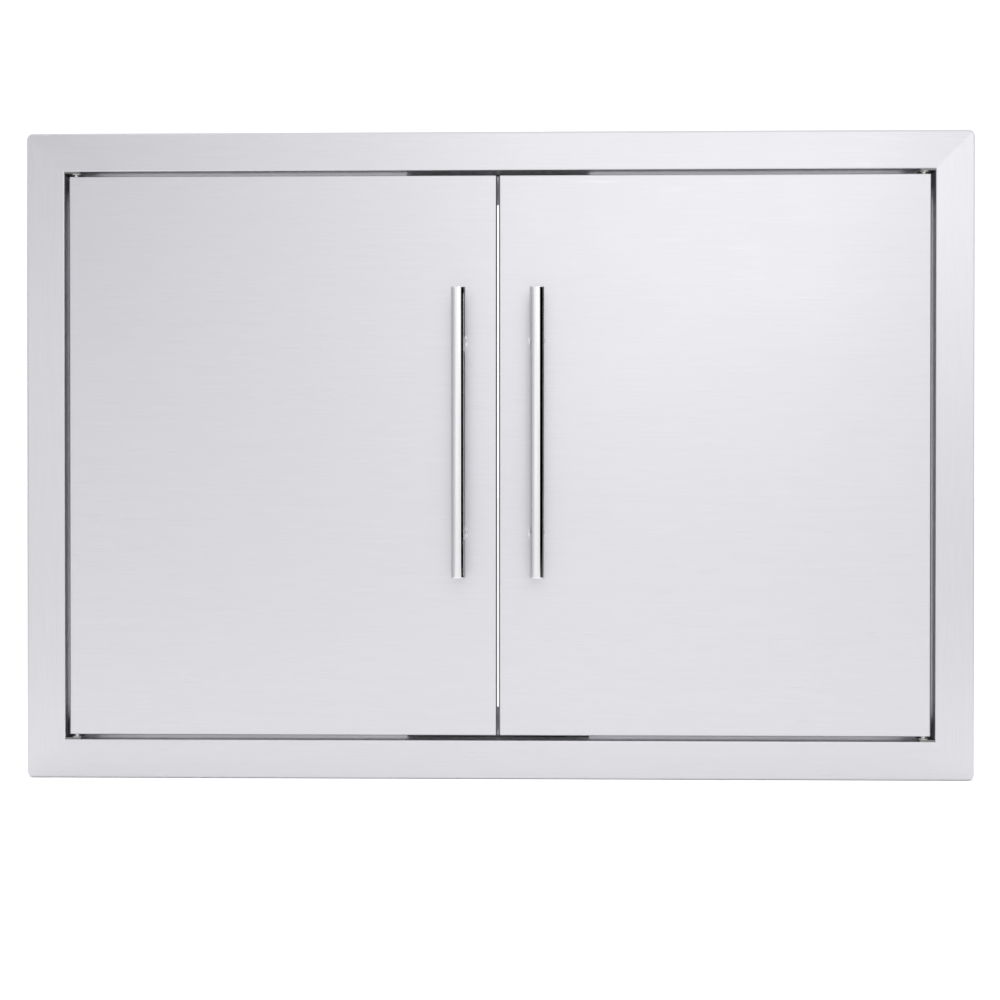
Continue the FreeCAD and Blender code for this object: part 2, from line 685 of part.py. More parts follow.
def door_skin():
    body = new_body("left_door_skin")
    size = "door_width", "door_height", "door_middle"
    face = rectangle(front_sketch(body, "skin_outline", "door_front"), *size)
    block = pad(body, face, "liner_front - door_front", reverse=True)
    front = number("door_front")
    block = fillet(body, block, "door_bend", lambda e: runs_along(e, "Y"))
    block = fillet(body, block, "door_bend", lambda e: flat_at(e, "Y", front))
    cavity = front_sketch(body, "skin_cavity", "liner_front")
    rectangle(cavity, "door_width - 2 * skin_sheet", "door_height - 2 * skin_sheet", "door_middle")
    block = pocket(body, cavity, "liner_front - door_front - skin_sheet", reverse=True)
    inside = front + number("skin_sheet")
    block = fillet(body, block, "skin_bend", lambda e: inner_corner(e, inside))
    block = fillet(body, block, "skin_bend", lambda e: flat_at(e, "Y", inside))
    lips = front_sketch(body, "skin_lips", "liner_front")
    rectangle(lips, "door_width - skin_sheet", "door_height - skin_sheet", "door_middle")
    rectangle(lips, "door_width - 2 * skin_lip", "door_height - 2 * skin_lip", "door_middle")
    pad(body, lips, "skin_sheet")
    pins = circle(plan_sketch(body, "pin_holes"), "pin_radius + pin_hole_gap", "hinge_x", "hinge_y")
    pocket(body, pins, both_ways=True)
    handle = front_sketch(body, "handle_holes", "door_front")
    for height in handle_post_heights().values():
        circle(handle, "handle_screw_radius + 3 * snug_gap", "handle_x", height)
    pocket(body, handle, "2 * skin_sheet")
    rivets = front_sketch(body, "lip_holes", "liner_front")
    for x, z in lip_rivet_places() + strike_rivet_places():
        circle(rivets, "rivet_radius + snug_gap", x, z)
    pocket(body, rivets, "2 * skin_sheet", reverse=True)
    return body


def inner_corner(edge, inside):
    """True for the four edges along Y that start on the inner face of the skin's front."""
    return runs_along(edge, "Y") and abs(edge.BoundBox.YMin - inside) < TINY


def door_liner():
    body = new_body("left_door_liner")
    panel = front_sketch(body, "liner_outline", "liner_front")
    rectangle(panel, "door_width - 2 * liner_margin", "door_height - 2 * liner_margin", "door_middle")
    solid = pad(body, panel, "liner_sheet", reverse=True)
    fillet(body, solid, "liner_corner", lambda e: runs_along(e, "Y"))
    cuts = front_sketch(body, "liner_holes", "liner_front")
    for x, z in lip_rivet_places() + strike_rivet_places():
        circle(cuts, "rivet_radius + snug_gap", x, z)
    for height in handle_post_heights().values():
        circle(cuts, "handle_screw_radius + 3 * snug_gap", "handle_x", height)
    tab_slot(cuts)
    pocket(body, cuts, "2 * liner_sheet")
    return body


def tab_slot(sketch):
    """The window that the pull tab moves in."""
    rectangle(sketch, "tab_width + 2 * tab_slot_gap", "slot_top - slot_bottom",
              "tab_left + tab_width / 2", "(slot_top + slot_bottom) / 2")


def door_stiffener():
    body = new_body("left_door_stiffener")
    crown = "liner_front - stiffener_sheet"
    inside = "door_front + skin_sheet"
    foot = f"{inside} + stiffener_sheet"
    half = "stiffener_width / 2"
    inner = f"({half} - stiffener_sheet)"
    toe = f"({half} + stiffener_foot)"
    right = [(inner, inside), (toe, inside), (toe, foot), (half, foot), (half, "liner_front")]
    left = [(f"-{across}", up) for across, up in reversed(right)]
    points = [(f"handle_x + {across}", up) for across, up in right]
    points += [(f"handle_x {across}", up) for across, up in left]
    points += [(f"handle_x - {inner}", crown), (f"handle_x + {inner}", crown)]
    hat = outline(plan_sketch(body, "hat_section"), *points)
    solid = pad(body, hat, "door_height - 2 * stiffener_end", both_ways=True)
    back = number("liner_front")
    fillet(body, solid, "1.5 * stiffener_sheet", lambda e: runs_along(e, "Z") and flat_at(e, "Y", back))
    holes = front_sketch(body, "stiffener_holes", "liner_front")
    for height in handle_post_heights().values():
        circle(holes, "handle_screw_radius + 3 * snug_gap", "handle_x", height)
    pocket(body, holes, "2 * stiffener_sheet", reverse=True)
    return body


def door_rivets():
    rivets = []
    through_carrier = lip_rivet_places()[:2]
    for index, (x, z) in enumerate(lip_rivet_places()):
        grip = "liner_sheet + skin_sheet"
        if (x, z) in through_carrier:
            grip += " + bracket_sheet"
        rivets.append(blind_rivet(f"lip_rivet_{index}", x, "door_back", z, grip))
    for index, (x, z) in enumerate(strike_rivet_places()):
        grip = "strike_sheet + liner_sheet + skin_sheet"
        rivets.append(blind_rivet(f"strike_rivet_{index}", x, "strike_back", z, grip))
    return group("left_door_rivets", rivets)


def strike_plate():
    body = new_body("left_strike_plate_upper")
    plate = front_sketch(body, "strike_outline", "door_back")
    rectangle(plate, "strike_width", "strike_height", "catch_x", "catch_z")
    solid = pad(body, plate, "strike_sheet", reverse=True)
    fillet(body, solid, "2 * strike_sheet", lambda e: runs_along(e, "Y"))
    holes = front_sketch(body, "strike_holes", "door_back")
    for side in ("+", "-"):
        circle(holes, "rivet_radius + snug_gap", f"catch_x {side} strike_rivet_offset", "catch_z")
    pocket(body, holes)
    return body


# Handle: a round bar on two coped posts, held by long screws from the liner's side

def handle_bar():
    body = new_body("left_handle_bar")
    section = circle(plan_sketch(body, "bar_section", "handle_rise"), "handle_radius", "handle_x", "handle_y")
    solid = pad(body, section, "handle_length", both_ways=True)
    fillet(body, solid, "handle_end_round", lambda e: e.BoundBox.ZLength < TINY)
    return body


def handle_post(place, height):
    """A round post with a flange on the door, coped to the bar."""
    body = new_body(f"left_handle_post_{place}")
    base = circle(front_sketch(body, f"post_{place}", "door_front"), "post_radius", "handle_x", height)
    pad(body, base, "handle_standoff")
    foot = front_sketch(body, f"post_{place}_foot", "door_front")
    flange = pad(body, circle(foot, "post_flange_radius", "handle_x", height), "post_flange")
    front = number("door_front") - number("post_flange")
    fillet(body, flange, "post_flange_round", lambda e: flat_at(e, "Y", front))
    cope = circle(plan_sketch(body, f"post_{place}_cope"), "handle_radius", "handle_x", "handle_y")
    pocket(body, cope, both_ways=True)
    thread = front_sketch(body, f"post_{place}_thread", "door_front")
    circle(thread, "handle_screw_radius + snug_gap", "handle_x", height)
    pocket(body, thread, "handle_screw_bite + handle_screw_radius", reverse=True)
    return body


def handle_screws():
    screws = []
    for place, height in handle_post_heights().items():
        screws.append(pan_screw(
            f"handle_screw_{place}", "handle_x", "door_back", height,
            "handle_screw_head_radius", "handle_screw_head", "handle_screw_radius",
            "door_depth + handle_screw_bite"))
    return group("left_handle_screws", screws)


# Pivot pins: the bottom one is fixed in the door, the top one is pulled down against a spring

def bottom_pin():
    body = new_body("left_bottom_pin")
    foot = "-(bush_face + bush_bore_depth) + seat_gap"
    inside = "-(door_top - skin_sheet)"
    section = [
        ("0", foot), ("pin_radius - pin_chamfer", foot), ("pin_radius", f"{foot} + pin_chamfer"),
        ("pin_radius", inside), ("pin_radius + pin_head_brim", inside),
        ("pin_radius + pin_head_brim", f"{inside} + pin_head"),
        ("0", f"{inside} + pin_head"),
    ]
    sketch = sketch_on(body, "XZ_Plane", "bottom_pin_section")
    outline(sketch, *section)
    revolve(body, sketch)
    return at_place(body, "hinge_x", "hinge_y")


def top_pin():
    body = new_body("left_top_pin")
    tip = "bush_face + bush_bore_depth - pin_tip_gap"
    tail = "carrier_top - carrier_height - pin_tail"
    groove = "pin_radius - clip_groove"
    section = [
        ("0", tail), ("pin_radius - pin_chamfer", tail), ("pin_radius", f"{tail} + pin_chamfer"),
        ("pin_radius", "spring_top"), (groove, "spring_top"), (groove, "clip_top"),
        ("pin_radius", "clip_top"), ("pin_radius", "tab_top"), ("collar_radius", "tab_top"),
        ("collar_radius", "collar_top"), ("pin_radius", "collar_top"), ("pin_radius", f"{tip} - pin_chamfer"),
        ("pin_radius - pin_chamfer", tip), ("0", tip),
    ]
    sketch = sketch_on(body, "XZ_Plane", "top_pin_section")
    outline(sketch, *section)
    revolve(body, sketch)
    return at_place(body, "hinge_x", "hinge_y")


def pin_clip():
    """A flat ring with an open side, snapped into the pin's groove."""
    body = new_body("left_pin_clip")
    outer = "(pin_radius + clip_brim)"
    inner = "(pin_radius - clip_groove + snug_gap)"
    ring = plan_sketch(body, "clip_ring", "spring_top")
    circle(ring, outer, "hinge_x", "hinge_y")
    circle(ring, inner, "hinge_x", "hinge_y")
    pad(body, ring, "clip_sheet")
    mouth = plan_sketch(body, "clip_opening", "clip_top")
    rectangle(mouth, outer, "clip_mouth", f"hinge_x + ({outer} + {inner}) / 2", "hinge_y")
    pocket(body, mouth)
    return body


def pin_tab():
    """A flat plate on the pin whose strip reaches back through the liner and turns down at its end."""
    body = new_body("left_pin_tab")
    left, right = "carrier_left", "tab_left + tab_width"
    front, neck = "hinge_y - collar_radius", "hinge_y + collar_radius"
    back = "door_back + tab_reach"
    plan = outline(
        plan_sketch(body, "tab_plan", "clip_top"),
        (left, front), (right, front), (right, back), ("tab_left", back), ("tab_left", neck), (left, neck),
    )
    solid = pad(body, plan, "tab_sheet")
    drop = front_sketch(body, "tab_end", "door_back + tab_reach")
    rectangle(drop, "tab_width", "tab_drop", "tab_left + tab_width / 2", "tab_top - tab_drop / 2")
    solid = pad(body, drop, "tab_sheet")
    end = number("door_back") + number("tab_reach")
    top = number("tab_top")
    solid = fillet(body, solid, "0.9 * tab_sheet", lambda e: flat_at(e, "Y", end) and flat_at(e, "Z", top))
    low = top - number("tab_drop")
    fillet(body, solid, "tab_width / 4", lambda e: runs_along(e, "Y") and flat_at(e, "Z", low))
    hole = circle(plan_sketch(body, "tab_hole", "tab_top"), "pin_radius + snug_gap", "hinge_x", "hinge_y")
    pocket(body, hole)
    return body


def pin_carrier():
    """A channel riveted inside the skin's lip. The pin runs in its two legs."""
    body = new_body("left_pin_carrier")
    bottom = "carrier_top - carrier_height"
    web = front_sketch(body, "carrier_web", "lip_front")
    rectangle(web, "carrier_right - carrier_left", "carrier_height", "(carrier_left + carrier_right) / 2",
              "carrier_top - carrier_height / 2")
    pad(body, web, "bracket_sheet")
    leg_right = "(hinge_x + carrier_edge)"
    legs = front_sketch(body, "carrier_legs", "lip_front - bracket_sheet / 2")
    for middle in ("carrier_top - bracket_sheet / 2", f"{bottom} + bracket_sheet / 2"):
        rectangle(legs, f"{leg_right} - carrier_left", "bracket_sheet",
                  f"(carrier_left + {leg_right}) / 2", middle)
    solid = pad(body, legs, "lip_front - bracket_sheet / 2 - (hinge_y - carrier_edge)")
    front = number("hinge_y") - number("carrier_edge")
    fillet(body, solid, "carrier_edge / 2", lambda e: runs_along(e, "Z") and flat_at(e, "Y", front))
    pins = circle(plan_sketch(body, "carrier_pin_holes"), "pin_radius + pin_hole_gap", "hinge_x", "hinge_y")
    pocket(body, pins, both_ways=True)
    cuts = front_sketch(body, "carrier_web_cuts", "lip_front")
    tab_slot(cuts)
    for x, z in lip_rivet_places()[:2]:
        circle(cuts, "rivet_radius + snug_gap", x, z)
    pocket(body, cuts, "2 * bracket_sheet", reverse=True)
    return body


def helix_point(radius, rise, angle):
    """A point of a helix and the direction of its tangent there."""
    point = FreeCAD.Vector(radius * math.cos(angle), radius * math.sin(angle), rise * angle)
    tangent = FreeCAD.Vector(-radius * math.sin(angle), radius * math.cos(angle), rise)
    return point, tangent.normalize()


def tangent_arc(start, corner, end):
    """The arc from start to end whose end tangents meet at the corner."""
    middle = (start + end) * 0.5
    half = (end - start).Length / 2
    slope = math.atan2((corner - middle).Length, half)
    apex = middle + (corner - middle) * (math.tan(slope / 2) / math.tan(slope))
    return Part.Arc(start, apex, end).toShape()


def spring_path(radius, rise, turns):
    """Quarter turns of a helix, each drawn as two arcs that share their tangent."""
    edges = []
    quarter = math.pi / 2
    for step in range(int(round(4 * turns))):
        start, leave = helix_point(radius, rise, step * quarter)
        end, arrive = helix_point(radius, rise, (step + 1) * quarter)
        chord, both = end - start, leave + arrive
        spread = 2 * (1 - leave.dot(arrive))
        along = chord.dot(both)
        reach = (math.sqrt(along ** 2 + spread * chord.dot(chord)) - along) / spread
        first, second = start + leave * reach, end - arrive * reach
        joint = (first + second) * 0.5
        edges += [tangent_arc(start, first, joint), tangent_arc(joint, second, end)]
    return Part.Wire(edges)


def pin_spring(label, side):
    """A coil spring from the carrier's lower leg to the clip. Its solid reads its sizes from the sheet."""
    wire = number("spring_wire") / 2
    radius = number("spring_radius")
    turns = number("spring_turns")
    height = number("spring_top") - number("carrier_floor") - 2 * wire
    rise = height / (2 * math.pi * turns)
    path = spring_path(radius, rise, turns)
    start, tangent = helix_point(radius, rise, 0)
    ring = Part.Wire(Part.Circle(start, tangent, wire).toShape())
    shell = Part.BRepOffsetAPI.MakePipeShell(path)
    shell.add(ring)
    shell.build()
    shell.makeSolid()
    solid = shell.shape()
    gap = 2 * math.pi * rise * math.cos(math.atan(rise / radius)) - 2 * wire
    print(f"{label}: least gap between turns {gap:.2f} mm, volume {solid.Volume:.2f} mm3, "
          f"section times length {math.pi * wire ** 2 * path.Length:.2f} mm3")
    spring = doc.addObject("Part::Feature", label)
    spring.Label = label
    spring.Shape = solid
    spring.Placement = FreeCAD.Placement(
        FreeCAD.Vector(side * number("hinge_x"), number("hinge_y"), number("carrier_floor") + wire),
        FreeCAD.Rotation())
    return spring


# The whole object

def build_parts():
    parts = frame_rails()
    top_left = [pivot_bracket(), pivot_bush(), catch_housing(), catch_magnet(), catch_poles()]
    for piece in top_left:
        label = piece.Label
        right = mirrored(piece, label.replace("left", "right"), LEFT_TO_RIGHT)
        low = mirrored(piece, label.replace("top", "bottom"), TOP_TO_BOTTOM)
        low_right = mirrored(right, right.Label.replace("top", "bottom"), TOP_TO_BOTTOM)
        parts += [piece, right, low, low_right]
    bracket = catch_bracket()
    parts += [bracket, mirrored(bracket, "catch_bracket_bottom", TOP_TO_BOTTOM), catch_screws()]
    strike = strike_plate()
    left_door = [door_skin(), door_liner(), door_stiffener(), door_rivets()]
    left_door += [strike, mirrored(strike, "left_strike_plate_lower", TOP_TO_BOTTOM)]
    left_door += [handle_bar(), handle_screws()]
    left_door += [handle_post(place, height) for place, height in handle_post_heights().items()]
    left_door += [bottom_pin(), top_pin(), pin_clip(), pin_tab(), pin_carrier()]
    parts += left_door
    parts += [mirrored(piece, piece.Label.replace("left", "right"), LEFT_TO_RIGHT) for piece in left_door]
    parts += [pin_spring("left_pin_spring", 1), pin_spring("right_pin_spring", -1)]
    doc.recompute()
    return parts


def check_document(parts):
    """Stops if a feature failed, a cut removed nothing, or a sub-part isn't a valid solid."""
    for item in doc.Objects:
        if "Invalid" in item.State or "Error" in item.State:
            raise RuntimeError(f"{item.Label} failed: {item.State}")
        if item.TypeId == "PartDesign::Pocket" and item.Shape.Volume >= item.BaseFeature.Shape.Volume - TINY:
            raise RuntimeError(f"{item.Label} cuts nothing")
    labels = [piece.Label for piece in parts]
    if len(set(labels)) != len(labels):
        raise RuntimeError("two sub-parts share a name")
    for piece in parts:
        shape = piece.Shape
        if shape.isNull() or not shape.isValid() or not shape.Solids or shape.Volume <= 0:
            raise RuntimeError(f"{piece.Label} is not a valid solid")


def print_checks(parts):
    box = FreeCAD.BoundBox()
    for piece in parts:
        box.add(piece.Shape.optimalBoundingBox(False, False))
    print(f"{len(parts)} sub-parts, {sum(len(piece.Shape.Solids) for piece in parts)} solids")
    print(f"overall X {box.XMin:.1f} to {box.XMax:.1f}, Y {box.YMin:.1f} to {box.YMax:.1f}, "
          f"Z {box.ZMin:.1f} to {box.ZMax:.1f} mm")
    print(f"opening {number('opening_width'):.1f} x {number('opening_height'):.1f} mm, "
          f"door {number('door_width'):.1f} x {number('door_height'):.1f} mm")
    heel = math.hypot(number("hinge_inset"), number("hinge_setback"))
    to_stile = number("hinge_inset") + number("side_gap")
    print(f"door's heel passes the stile with {to_stile - heel:.2f} mm to spare")
    corner = math.hypot(to_stile, number("hinge_setback"))
    limit = 2 * math.degrees(math.acos(number("hinge_setback") / corner))
    print(f"door's face meets the trim's edge at {limit:.1f} degrees")
    sweep = math.hypot(number("hinge_inset"), number("door_back") - number("hinge_y")) + number("hinge_y")
    leg = number("door_back") + number("pivot_bracket_gap")
    print(f"door's back corner passes the pivot bracket with {leg - sweep:.2f} mm to spare")


def export(parts):
    os.makedirs("parts", exist_ok=True)
    for piece in parts:
        piece.Shape.exportStep(os.path.join("parts", piece.Label + ".step"))


fill_in_sizes()
all_parts = build_parts()
check_document(all_parts)
print_checks(all_parts)
export(all_parts)
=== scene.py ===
"""Looks of a stainless double access door for a barbecue island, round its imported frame. Metres, +Z up."""
import json
import math

import bmesh
import bpy
from mathutils import Matrix, Vector


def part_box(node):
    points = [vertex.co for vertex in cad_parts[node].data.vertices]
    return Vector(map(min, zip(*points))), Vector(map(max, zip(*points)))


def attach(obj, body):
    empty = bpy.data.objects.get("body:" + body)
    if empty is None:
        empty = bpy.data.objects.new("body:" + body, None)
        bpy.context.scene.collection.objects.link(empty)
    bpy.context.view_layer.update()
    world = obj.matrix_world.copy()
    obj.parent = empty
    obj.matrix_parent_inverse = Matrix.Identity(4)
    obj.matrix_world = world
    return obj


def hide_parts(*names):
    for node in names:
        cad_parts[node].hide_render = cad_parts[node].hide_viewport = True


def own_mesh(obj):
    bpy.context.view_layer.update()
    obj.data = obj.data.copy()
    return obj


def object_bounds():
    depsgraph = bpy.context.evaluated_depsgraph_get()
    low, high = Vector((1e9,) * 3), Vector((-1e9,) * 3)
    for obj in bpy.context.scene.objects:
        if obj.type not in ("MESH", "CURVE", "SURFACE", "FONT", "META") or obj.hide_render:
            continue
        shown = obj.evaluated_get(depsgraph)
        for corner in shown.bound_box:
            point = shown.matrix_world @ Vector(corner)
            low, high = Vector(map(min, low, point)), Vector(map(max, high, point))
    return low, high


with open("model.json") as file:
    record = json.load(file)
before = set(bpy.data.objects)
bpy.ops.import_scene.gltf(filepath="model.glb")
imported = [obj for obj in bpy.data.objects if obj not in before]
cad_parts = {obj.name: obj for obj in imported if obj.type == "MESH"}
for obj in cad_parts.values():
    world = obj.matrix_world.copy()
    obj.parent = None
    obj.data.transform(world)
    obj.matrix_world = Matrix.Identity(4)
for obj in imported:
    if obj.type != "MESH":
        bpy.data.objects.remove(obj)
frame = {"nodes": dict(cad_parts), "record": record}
cad_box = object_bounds()

MM = 0.001
SIDES = {"left": -1, "right": 1}
LEVELS = {"bottom": -1, "top": 1}

# Camera: where the photograph was taken from, found from the trim's, the gaps' and the bars' edges
CAMERA_PLACE = Vector((0.0144, -1.500, -0.0261))
CAMERA_SHIFT = 0.0267
CAMERA_TURN = math.radians(1.331)
CAMERA_TILT = math.radians(-0.400)
SENSOR_WIDTH = 36.0
FOCAL_LENGTH = 65.28

# Studio
FLOOR_HALF = 40.0
FLOOR_WHITE = 0.92
ROOM_LIGHT = 1.19
FLOOR_LAMP = {"place": (0, -0.55, 1.4), "target": (0, -0.15, -0.27), "size": (1.3, 0.3),
              "power": 1.8, "spread": math.radians(60)}
KEY_LAMP = {"place": (0.50, -3.0, 0.74), "target": (0, 0, 0), "size": (1.2, 0.8),
            "power": 2.7, "spread": math.pi}
EDGE_LAMP = {"place": (1.9, -0.75, 0.35), "target": (0.39, 0, 0), "size": (1.8, 1.0),
             "power": 6.0, "spread": math.pi}
# Each card: the two ends of its foot seen from above, how high its foot lies, how high it is above that,
# and its grey at either end. A foot just above the floor lies at CARD_FOOT.
CARD_FOOT = -0.26
CARDS = {
    "upper_left_card": {"ends": ((-2.6, -2.9), (-0.9, -3.1)),
                        "foot": 0.60, "height": 1.7, "greys": (0.62, 0.55)},
    "left_card": {"ends": ((-2.4, 0.25), (-2.4, -3.3)),
                  "foot": CARD_FOOT, "height": 0.75, "greys": (0.45, 0.9)},
    "right_front_card": {"ends": ((0.3, -3.3), (1.6, -3.15)),
                         "foot": CARD_FOOT, "height": 0.45, "greys": (1.0, 0.78)},
    "right_card": {"ends": ((2.4, -2.40), (2.4, 0.30)),
                   "foot": CARD_FOOT, "height": 1.25, "greys": (0.0, 0.0)},
    "rear_card": {"ends": ((-1.9, 3.4), (1.9, 3.0)),
                  "foot": CARD_FOOT, "height": 1.6, "greys": (1.1, 0.35)},
}

# Meshes: edges sharper than this stay sharp, and vertices nearer than this are one
SHARP_ANGLE = math.radians(35)
MERGE_DISTANCE = MM / 1000
# Corners round a screw or rivet, a weld bead and a spring's wire
ROUND_STEPS = 32
BEAD_CORNERS = 14
WIRE_CORNERS = 12

# Screws: the sizes of the two kinds
HANDLE_SCREW = {"head_radius": 4.0 * MM, "head_height": 2.4 * MM, "shank_radius": 2.0 * MM,
                "length": 30.0 * MM, "plain_length": 15.0 * MM, "pitch": 0.7 * MM}
CATCH_SCREW = {"head_radius": 2.8 * MM, "head_height": 1.8 * MM, "shank_radius": 1.45 * MM,
               "length": 5.5 * MM, "plain_length": 0.8 * MM, "pitch": 1.1 * MM}
# The head's outline from its top down, as shares of its radius and height
HEAD_DOME = ((0.30, 1.0), (0.55, 0.98), (0.75, 0.86), (0.90, 0.68),
             (0.98, 0.46), (1.0, 0.26), (1.0, 0.08), (0.97, 0.0))
# The recess's cross: its arms' reach and half width, as shares of the head's radius
RECESS_MOUTH = (0.62, 0.15)
RECESS_FLOOR = (0.22, 0.10)
RECESS_DEPTH_SHARE = 0.7
CUTTER_ABOVE_HEAD = 0.2 * MM
# Shares of the shank's radius
NECK_RADIUS = 1.08
NECK_LENGTH = 0.12
THREAD_DEPTH = 0.22
TIP_LENGTH = 0.6
TIP_RADIUS = 0.45
# The mesh has so many rings in each turn of the thread
THREAD_STEPS = 8
# Each screw was left at another turn when it was driven home: so many radians per mm of its place
SCREW_TURN = 40

# Rivets: the plain solid's head and closed end
RIVET_HEAD = 0.9 * MM
RIVET_BULB = 3.0 * MM
# In mm: the head's radius and height above the liner, and the closed end's radius and depth below the grip
RIVET_DOME = ((0.35, 0.22), (0.72, 0.30), (0.86, 0.24), (0.90, 0.74), (1.12, 0.88), (1.6, 0.85),
              (2.2, 0.72), (2.75, 0.48), (3.04, 0.24), (3.1, 0.10), (3.06, 0.0), (1.6, 0.0))
RIVET_TAIL = ((1.6, 0.0), (2.12, 0.12), (2.30, 0.60), (2.28, 1.60), (1.95, 2.45), (1.28, 2.96), (0.6, 3.0))

# Welds: the frame's box, and its corners' beads, which lie a little inside the corner and its two ends
BOX_HALF_WIDTH = 359 * MM
RAIL_SHEET = 1 * MM
CORNER_BEAD = {"half_width": 1.5 * MM, "half_height": 1.2 * MM}
CORNER_BEAD_SUNK = 0.35 * MM
CORNER_BEAD_START = 1.5 * MM
CORNER_BEAD_STOP = 1 * MM
# The beads behind the mitres, and how far beyond the box's corner they start and stop
MITRE_BACK = -7 * MM
MITRE_BEAD = {"half_width": 1.6 * MM, "half_height": 0.6 * MM}
MITRE_BEAD_START = 1.5 * MM
MITRE_BEAD_STOP = 26 * MM
# Every bead: its rings' spacing, its blunt ends, its crescent ripples and how it strays sideways
BEAD_STEP = 0.25 * MM
BEAD_BLUNTNESS = 24
BEAD_END_SHARE = 0.2
RIPPLE_LENGTH = 1.5 * MM
RIPPLE_DEPTH = 0.10
CRESCENT = 0.5 * MM
# How far either of its two waves strays, its length per radian and the radian it starts at
BEAD_WAVES = ((0.12 * MM, 3.1 * MM, 0), (0.08 * MM, 1.3 * MM, 1))

# Springs: at each end the wire winds some dead turns, which nearly touch
WIRE_RADIUS = 0.35 * MM
SPRING_TURNS = 9.4
DEAD_TURNS = 1.2
DEAD_PITCH = 2.06 * WIRE_RADIUS
STEPS_PER_TURN = 28


# Materials

class Finish:
    """A material being made: short calls that add nodes to its tree and link them."""

    def __init__(self, name, colour, roughness, metallic=1.0, **constants):
        self.material = bpy.data.materials.new(name)
        self.material.use_nodes = True
        self.tree = self.material.node_tree
        self.shader = self.tree.nodes["Principled BSDF"]
        self.place = self.add("TexCoord").outputs["Object"]
        self.colour = colour
        self.set("Base Color", (*colour, 1))
        self.set("Roughness", roughness)
        self.set("Metallic", metallic)
        for socket, value in constants.items():
            self.set(socket.replace("_", " "), value)

    def add(self, kind, **settings):
        """A new node of the tree."""
        node = self.tree.nodes.new("ShaderNode" + kind)
        for name, value in settings.items():
            setattr(node, name, value)
        return node

    def feed(self, socket, value):
        """Links another node's output to a socket, or sets the socket's own value."""
        if isinstance(value, bpy.types.NodeSocket):
            self.tree.links.new(value, socket)
        else:
            socket.default_value = value

    def set(self, name, value):
        """Feeds one of the shader's own sockets."""
        self.feed(self.shader.inputs[name], value)

    def scaled(self, per_metre):
        """The place on the piece, with so many units in a metre along X, Y and Z."""
        node = self.add("Mapping")
        self.feed(node.inputs["Vector"], self.place)
        node.inputs["Scale"].default_value = per_metre
        return node.outputs["Vector"]

    def noise(self, per_metre, detail=2.0, distortion=0.0):
        """Smooth noise round 0.5, with so many features in a metre along X, Y and Z."""
        node = self.add("TexNoise")
        self.feed(node.inputs["Vector"], self.scaled(per_metre))
        node.inputs["Scale"].default_value = 1.0
        node.inputs["Detail"].default_value = detail
        node.inputs["Distortion"].default_value = distortion
        return node.outputs["Fac"]

    def spots(self, per_metre):
        """Distance to the nearest point of a random scatter."""
        node = self.add("TexVoronoi")
        self.feed(node.inputs["Vector"], self.scaled(per_metre))
        node.inputs["Scale"].default_value = 1.0
        return node.outputs["Distance"]

    def math(self, operation, *values):
        """The output of a Math node."""
        node = self.add("Math", operation=operation)
        for socket, value in zip(node.inputs, values):
            self.feed(socket, value)
        return node.outputs[0]

    def blended(self, one, other, share):
        """One value and a share of the other, adding up to a whole."""
        return self.math("MULTIPLY_ADD", one, 1 - share, self.math("MULTIPLY", other, share))

    def span(self, value, low, high, to_low=0, to_high=1):
        """Maps low...high to to_low...to_high, and holds the ends."""
        node = self.add("MapRange", interpolation_type="LINEAR")
        for socket, number in zip(node.inputs, (value, low, high, to_low, to_high)):
            self.feed(socket, number)
        return node.outputs[0]

    def mixed(self, share, one, other):
        """The one colour where share is 0, and the other where it is 1."""
        node = self.add("Mix", data_type="RGBA")
        self.feed(node.inputs["Factor"], share)
        for socket, colour in (("A_Color", one), ("B_Color", other)):
            value = colour if isinstance(colour, bpy.types.NodeSocket) else (*colour, 1)
            self.feed(next(s for s in node.inputs if s.identifier == socket), value)
        return next(s for s in node.outputs if s.identifier == "Result_Color")

    def shaded(self, value, low, high):
        """The base colour, made darker or lighter where value is low or high."""
        dark = tuple(low * c for c in self.colour)
        light = tuple(high * c for c in self.colour)
        return self.mixed(value, dark, light)

    def roughen(self, value, spread, base):
        """Sets the roughness: the base, and spread added to it where value is 1."""
        self.set("Roughness", self.math("MULTIPLY_ADD", value, spread, base))

    def relief(self, height, depth):
        """Bumps the surface, by depth in metres where height goes from 0 to 1."""
        node = self.add("Bump")
        node.inputs["Strength"].default_value = 1.0
        node.inputs["Distance"].default_value = depth
        self.feed(node.inputs["Height"], height)
        self.set("Normal", node.outputs["Normal"])

    def across(self, axis):
        """Sets the tangent square to a grain that runs along that axis."""
        self.set("Tangent", self.add("Tangent", direction_type="RADIAL", axis=axis).outputs[0])


def along(axis, lengthwise, crosswise):
    """Features per metre for a grain, or for rings, along that axis."""
    return tuple(lengthwise if a == axis else crosswise for a in "XYZ")


def even(per_metre):
    """The same features per metre every way."""
    return (per_metre,) * 3


def bend_mask_for_painted_shade(steel):
    """1 where the sheet turns from the front to the side, and 0 on its flats: where the bends get painted
    shade.
    """
    facing = steel.add("SeparateXYZ")
    steel.feed(facing.inputs[0], steel.add("TexCoord").outputs["Normal"])
    sideways = steel.math("ABSOLUTE", facing.outputs["X"])
    leaves_front = steel.span(sideways, 0.06, 0.25)
    meets_side = steel.span(sideways, 0.92, 0.99, to_low=1, to_high=0)
    return steel.math("MULTIPLY", leaves_front, meets_side)


